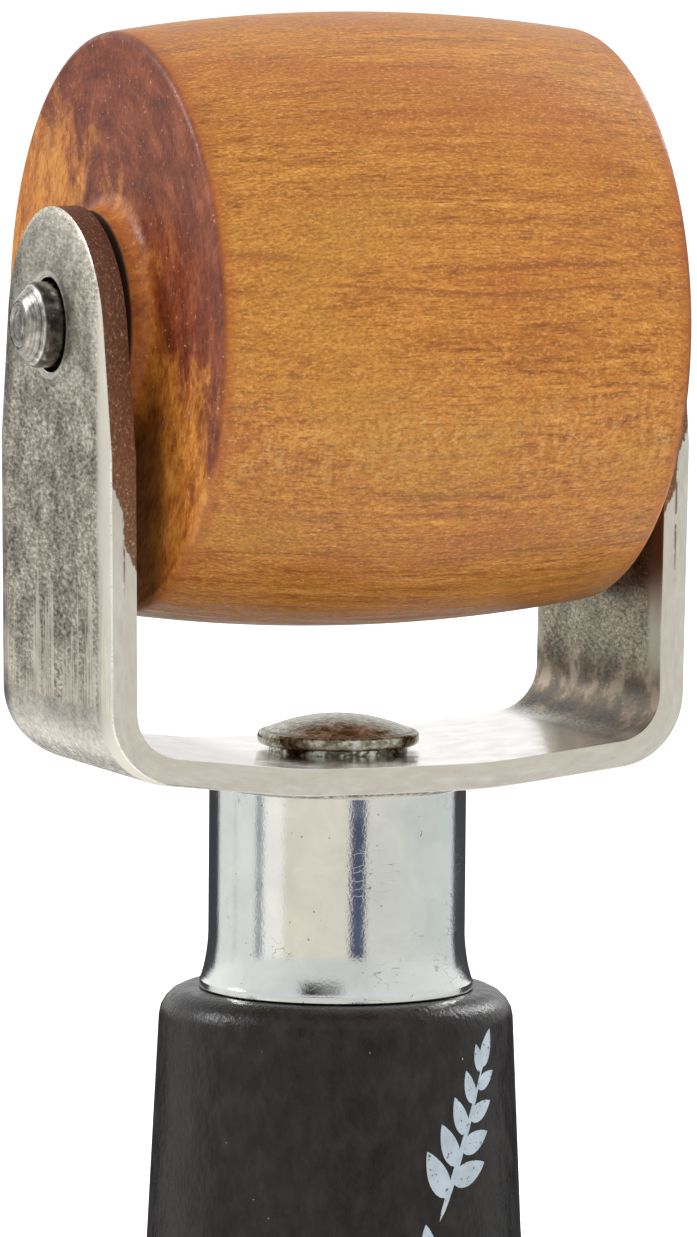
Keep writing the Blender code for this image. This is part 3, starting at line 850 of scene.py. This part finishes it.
# %% Cut edge of the strip
def cut_edge_steel():
    steel = Finish("cut_edge_steel", Metallic=1.0)
    place = steel.attribute("flat_place")
    lengthwise, across, depth = steel.split(place)
    station = steel.absolute(lengthwise)
    satin = steel.noise(place, (700, 700, 2600), detail=4.0, rough=0.65)
    dust = steel.noise(place, (4200, 4200, 6500), detail=2.0, rough=0.7)
    ragged = steel.noise(place, (1500, 1500, 4200), detail=3.0, rough=0.7)
    color = steel.ramp(satin, [(0.3, (0.70, 0.655, 0.58)), (0.5, (0.77, 0.73, 0.65)),
                               (0.7, (0.84, 0.81, 0.74))])
    inner_half = steel.band(steel.plus(depth, steel.times(ragged, 0.12 * MM)), -0.82 * MM,
                            -0.76 * MM)
    color = steel.mix(steel.times(inner_half, 0.35), color, (0.74, 0.69, 0.58))
    from_middle = steel.absolute(steel.minus(depth, -0.84 * MM))
    split = steel.times(steel.band(from_middle, 0.0, 0.13 * MM, 1.0, 0.0),
                        steel.band(ragged, 0.40, 0.52))
    below_stain = steel.band(station, shoulder - 9.5 * MM, shoulder - 6.0 * MM, 0.0, 0.9)
    color = steel.mix(steel.times(split, below_stain), color, (0.20, 0.12, 0.07))
    stained = steel.weighted((station, 1.0), (ragged, 1.4 * MM), (inner_half, 1.9 * MM),
                             (depth, 2.2))
    stained = steel.minus(stained, steel.band(lengthwise, -1 * MM, 1 * MM, 0.0, 2.6 * MM))
    stain = steel.band(stained, shoulder - 4.6 * MM, shoulder - 4.3 * MM)
    brown = steel.ramp(dust, [(0.36, (0.22, 0.105, 0.058)), (0.54, (0.29, 0.15, 0.092)),
                              (0.66, (0.40, 0.245, 0.17)), (0.72, (0.80, 0.66, 0.52))])
    color = steel.mix(stain, color, brown)
    roughness = steel.band(satin, 0.3, 0.7, 0.34, 0.46)
    ticks = steel.add("TexWave", {"Vector": place, "Scale": 420.0, "Distortion": 4.0,
                                  "Detail": 2.0}, out="Fac", bands_direction="X")
    from_bend = steel.absolute(steel.minus(station, (bend_start + bend_end) / 2))
    bent = steel.band(from_bend, 1.2 * MM, 2.6 * MM, 1.0, 0.0)
    height = steel.plus(steel.times(dust, 0.5), steel.times(ticks, bent, 0.8))
    normal = steel.bump(height, 0.015 * MM, 0.5)
    return steel.surface(color, roughness, normal)


# %% Fork
finished(blank, "bent_fork", [strip_steel(), cut_edge_steel()], "handle_and_fork", ["fork"],
         crisp=35)

# %% [markdown]
# ## Rivet and its collar
#
# The tang's head holds the fork down. It is a low dome on a rounded rim, and a short collar lifts
# it off the base. Both are dull plated metal that has been handled.

# %% Dull nickel
HEAD_RADIUS = (rivet_high.x - rivet_low.x) / 2


def dull_nickel(name, deepest, middling):
    """Two tones set how dark the metal is; its rubbed high spots are always pale."""
    nickel = Finish(name, Metallic=1.0)
    place = nickel.mapped(nickel.object_place(), shift=(0, 0, -BASE_TOP))
    patches = nickel.noise(place, (850, 850, 1500), detail=4.0, rough=0.65)
    speckle = nickel.noise(place, (3200, 3200, 3200), detail=2.0)
    tone = nickel.weighted((patches, 0.65), (speckle, 0.35))
    color = nickel.ramp(tone, [(0.40, deepest), (0.50, middling), (0.60, (0.86, 0.88, 0.80))])
    out = nickel.add("VectorMath", {0: nickel.mapped(place, scale=(1, 1, 0))}, out="Value",
                     operation="LENGTH")
    crease = nickel.between(out, (HEAD_RADIUS - 0.55 * MM, HEAD_RADIUS - 0.40 * MM),
                            (HEAD_RADIUS - 0.30 * MM, HEAD_RADIUS - 0.15 * MM))
    color = nickel.mix(nickel.times(crease, 0.8), color, (0.10, 0.09, 0.06))
    roughness = nickel.band(patches, 0.35, 0.65, 0.20, 0.42)
    normal = nickel.bump(tone, 0.08 * MM, 0.8)
    return nickel.surface(color, roughness, normal)


# %% Rivet
TANG_RADIUS = 2.5 * MM
TANG_POINT = 7 * MM
RIM_HEIGHT = 0.80 * MM
DOME_FOOT = 0.85 * MM
head_underside = BASE_TOP + 0.4 * MM
rivet = bmesh.new()
dome_rim = HEAD_RADIUS - 0.35 * MM
dome_height = rivet_high.z - head_underside - DOME_FOOT
dome_arc = (dome_rim**2 + dome_height**2) / (2 * dome_height)
top = rivet.verts.new(about_handle(rivet_high.z, 0))
rim = draw_arc(rivet, top, about_handle(rivet_high.z - dome_arc, 0), (0, 1, 0),
               math.asin(dome_rim / dome_arc), 10)
head = draw(rivet, [about_handle(head_underside + RIM_HEIGHT, HEAD_RADIUS),
                    about_handle(head_underside, HEAD_RADIUS),
                    about_handle(head_underside, TANG_RADIUS),
                    about_handle(rivet_low.z + TANG_POINT, TANG_RADIUS),
                    about_handle(rivet_low.z, 0)], start=rim)
round_off(rivet, head[2], 0.3 * MM)
round_off(rivet, head[1], 0.22 * MM)
spin_round(rivet, (0, 0, 0), (0, 0, 1), 96)
head_nickel = dull_nickel("dull_nickel", (0.20, 0.18, 0.12), (0.44, 0.42, 0.33))
finished(rivet, "rivet_head", [head_nickel], "handle_and_fork", ["tang_rivet"])

# %% Collar
COLLAR_RADIUS = 4.4 * MM
collar_foot = BASE_UNDERSIDE - 0.02 * MM
collar = bmesh.new()
drawn_and_rounded(collar, about_handle, [
    (head_underside, TANG_RADIUS, 0), (head_underside, COLLAR_RADIUS, 0),
    (collar_foot, COLLAR_RADIUS, 0.1 * MM), (collar_foot, TANG_RADIUS, 0)])
spin_round(collar, (0, 0, 0), (0, 0, 1), 72)
# The collar gets much darker tones than the head: a painted shade under the head's overhanging rim.
collar_nickel = dull_nickel("dull_nickel_collar", (0.06, 0.055, 0.035), (0.16, 0.15, 0.11))
finished(collar, "rivet_collar_sleeve", [collar_nickel], "handle_and_fork", ["rivet_collar"])

# %% [markdown]
# ## Ferrule
#
# The ferrule is a drawn cup of thin sheet, plated bright with a cool tint. Its foot flares and ends
# in a small rolled lip that sits on the handle's shoulder. The wall has its real thickness there.

# %% Bright zinc
def bright_zinc():
    zinc = Finish("bright_zinc", Metallic=1.0)
    place = zinc.mapped(zinc.object_place(), shift=(0, 0, -ferrule_low.z))
    haze = zinc.noise(place, (300, 300, 300), detail=4.0, rough=0.6, warp=0.8)
    color = zinc.ramp(haze, [(0.3, (0.76, 0.78, 0.77)), (0.52, (0.84, 0.85, 0.83)),
                             (0.7, (0.90, 0.90, 0.87))])
    slanted = zinc.mapped(place, turn=(0.5, 0.9, 0.3), scale=(500, 1500, 1500))
    wander = zinc.noise(slanted, detail=2.0, rough=0.4, warp=0.4)
    line = zinc.band(zinc.absolute(zinc.minus(wander, 0.5)), 0.0, 0.012, 1.0, 0.0)
    handled = zinc.noise(zinc.mapped(place, scale=(230, 230, 170), shift=(0.4, 0.1, 0.2)),
                         detail=2.0)
    scratch = zinc.times(line, zinc.band(handled, 0.56, 0.62))
    dents = zinc.noise(place, (2600, 2600, 2600), detail=1.0)
    pit = zinc.band(dents, 0.76, 0.80)
    color = zinc.mix(zinc.times(scratch, 0.7), color, (0.22, 0.19, 0.14))
    color = zinc.mix(zinc.times(pit, 0.7), color, (0.16, 0.14, 0.11))
    roughness = zinc.band(haze, 0.3, 0.7, 0.07, 0.14)
    grain = zinc.noise(place, (6500, 6500, 5200), detail=2.0, rough=0.6)
    height = zinc.weighted((grain, 1.0), (dents, 0.4), (scratch, -0.5))
    normal = zinc.bump(height, 0.008 * MM, 0.8)
    return zinc.surface(color, roughness, normal)


# %% Ferrule
FERRULE_RADIUS = 8.2 * MM
FLARE_RADIUS = (ferrule_high.x - ferrule_low.x) / 2
WALL = 0.6 * MM
TENON_RADIUS = FERRULE_RADIUS - WALL
TENON_TOP = BASE_UNDERSIDE - WALL
foot = ferrule_low.z - 0.25 * MM
flare_top = foot + 2.3 * MM
cup = bmesh.new()
drawn_and_rounded(cup, about_handle, [
    (BASE_UNDERSIDE, TANG_RADIUS, 0), (BASE_UNDERSIDE, FERRULE_RADIUS, 0.45 * MM),
    (flare_top, FERRULE_RADIUS, 1.2 * MM),
    (foot + 0.62 * MM, FLARE_RADIUS - 0.12 * MM, 0.2 * MM),
    (foot + 0.45 * MM, FLARE_RADIUS - 0.04 * MM, 0.08 * MM),
    (foot, FLARE_RADIUS + 0.03 * MM, 0.1 * MM), (foot, FLARE_RADIUS - WALL, 0),
    (flare_top, TENON_RADIUS, 1.2 * MM), (TENON_TOP, TENON_RADIUS, 0),
    (TENON_TOP, TANG_RADIUS, 0)])
spin_round(cup, (0, 0, 0), (0, 0, 1), 128)
finished(cup, "ferrule_cup", [bright_zinc()], "handle_and_fork", ["ferrule"],
         crisp=50)

# %% [markdown]
# ## Handle
#
# The handle is turned wood under satin black paint. Its outline is five straight lines with
# generous rounding between them: butt, belly, neck and shoulder. Above the shoulder a tenon fills
# the ferrule.

# %% Satin black paint
def black_paint():
    paint = Finish("black_paint", IOR=1.45, Specular_IOR_Level=0.36)
    place = paint.object_place()
    mottle = paint.noise(place, (900, 900, 520), detail=4.0, rough=0.65)
    peel = paint.noise(place, (2900, 2900, 1900), detail=3.0, rough=0.6)
    color = paint.ramp(mottle, [(0.34, (0.009, 0.0068, 0.0062)), (0.5, (0.014, 0.0108, 0.0098)),
                                (0.66, (0.022, 0.0175, 0.0158))])
    bare = paint.noise(paint.mapped(place, scale=(1500, 1500, 1500), shift=(0.3, 0.3, 0)),
                       detail=2.0)
    color = paint.mix(paint.band(bare, 0.77, 0.80), color, (0.34, 0.31, 0.27))
    roughness = paint.band(mottle, 0.3, 0.7, 0.24, 0.36)
    normal = paint.bump(peel, 0.09 * MM, 0.7)
    return paint.surface(color, roughness, normal)


# %% Handle
SHOULDER_HEIGHT = ferrule_low.z - 0.3 * MM
BUTT_RADIUS = 12.6 * MM
BELLY_RADIUS = 14.02 * MM
BELLY_FOOT = 40 * MM
BELLY_TOP = 56 * MM
NECK_RADIUS = 11.24 * MM
stick = bmesh.new()
drawn_and_rounded(stick, about_handle, [
    (0, 0, 0), (0, BUTT_RADIUS, 3.5 * MM), (BELLY_FOOT, BELLY_RADIUS, 8 * MM),
    (BELLY_TOP, BELLY_RADIUS, 8 * MM), (SHOULDER_HEIGHT, NECK_RADIUS, 1.8 * MM),
    (SHOULDER_HEIGHT, TENON_RADIUS, 0), (TENON_TOP, TENON_RADIUS, 0), (TENON_TOP, TANG_RADIUS, 0)])
spin_round(stick, (0, 0, 0), (0, 0, 1), 128)
finished(stick, "painted_handle", [black_paint()], "handle_and_fork", ["handle"])

# %% [markdown]
# ## Printed leaves
#
# The handle is screen-printed in one pale ink. The print here is a plain pattern of leafy sprigs.
# Ink has a thickness, if only a few hundredths of a millimetre, so each leaf is a thin closed
# shape: a flat grid is narrowed to a blade, given its thickness, and rolled on to the cone of the
# handle.

# %% Pale ink
def pale_ink():
    ink = Finish("pale_ink", IOR=1.45, Specular_IOR_Level=0.3)
    place = ink.object_place()
    cover = ink.noise(place, (3600, 3600, 3600), detail=2.0, rough=0.6)
    cloud = ink.noise(place, (700, 700, 700), detail=3.0)
    color = ink.ramp(cloud, [(0.35, (0.36, 0.425, 0.475)), (0.65, (0.46, 0.53, 0.585))])
    pinhole = ink.band(cover, 0.63, 0.69)
    color = ink.mix(ink.times(pinhole, 0.85), color, (0.05, 0.05, 0.055))
    normal = ink.bump(cover, 0.02 * MM, 0.5)
    return ink.surface(color, ink.band(cloud, 0.3, 0.7, 0.42, 0.55), normal)


# %% Leafy sprigs
INK_RAISED = 0.03 * MM
INK_SUNK = 0.03 * MM
PRINT_RADIUS = 12.0 * MM
LEAVES = 9
# azimuth in degrees, height of the foot in mm, lean in degrees, length in mm
SPRIGS = [(-79, 101.5, 24, 11), (-73, 85, -8, 15), (-110, 83.2, -3, 16), (-147, 81, 14, 14),
          (-31, 85, 10, 13), (5, 98, -15, 12), (37, 84, 12, 14), (80, 96, 18, 12),
          (122, 84, -10, 14), (168, 83, 14, 12), (-92, 67, 16, 13), (-45, 68, -12, 14),
          (0, 67, 10, 13), (62, 69, -14, 14), (103, 67, 12, 13), (150, 68, -10, 13),
          (-165, 67, 14, 13), (-128, 66, -10, 13)]


def blade(shape, root, lean, length, width, fullness, cells):
    """A flat pointed blade from its root, in unrolled handle coordinates (round, up)."""
    made = bmesh.ops.create_grid(shape, x_segments=cells, y_segments=4, size=1.0)["verts"]
    for v in made:
        share, side = (v.co.x + 1) / 2, v.co.y
        half = width / 2 * math.sin(math.pi * share**fullness)**0.8 if 0 < share < 1 else 0.0
        out = Vector((length * share, half * side, 0))
        out.rotate(Matrix.Rotation(math.pi / 2 - lean, 3, "Z"))
        v.co = out + Vector((*root, 0))


prints = bmesh.new()
for azimuth, base, lean, length in SPRIGS:
    lean, length = math.radians(lean), length * MM
    middle = Vector((math.radians(azimuth) * PRINT_RADIUS, base * MM))
    grow = Vector((math.sin(lean), math.cos(lean)))
    blade(prints, middle, lean, length, 0.42 * MM, 0.6, 16)
    for i in range(LEAVES):
        share = 0.14 + 0.095 * i
        side = 1 if i % 2 else -1
        leaf = (3.7 - 2.0 * share) * MM
        blade(prints, middle + grow * length * share, lean + side * math.radians(52 - 16 * share),
              leaf, leaf * 0.46, 0.75, 10)
    blade(prints, middle + grow * length * 0.93, lean, 2.6 * MM, 1.1 * MM, 0.75, 10)
bmesh.ops.remove_doubles(prints, verts=prints.verts, dist=0.004 * MM)
raised = bmesh.ops.extrude_face_region(prints, geom=prints.faces[:])["geom"]
bmesh.ops.translate(prints, verts=verts_in(raised), vec=(0, 0, INK_RAISED + INK_SUNK))
cone = (NECK_RADIUS - BELLY_RADIUS) / (SHOULDER_HEIGHT - BELLY_TOP)
for v in prints.verts:
    around_handle, up = v.co.x / PRINT_RADIUS, v.co.y
    reach = BELLY_RADIUS + cone * (up - BELLY_TOP) + v.co.z - INK_SUNK
    v.co = Vector((reach * math.cos(around_handle), reach * math.sin(around_handle), up))
finished(prints, "leaf_print", [pale_ink()], "handle_and_fork", [])
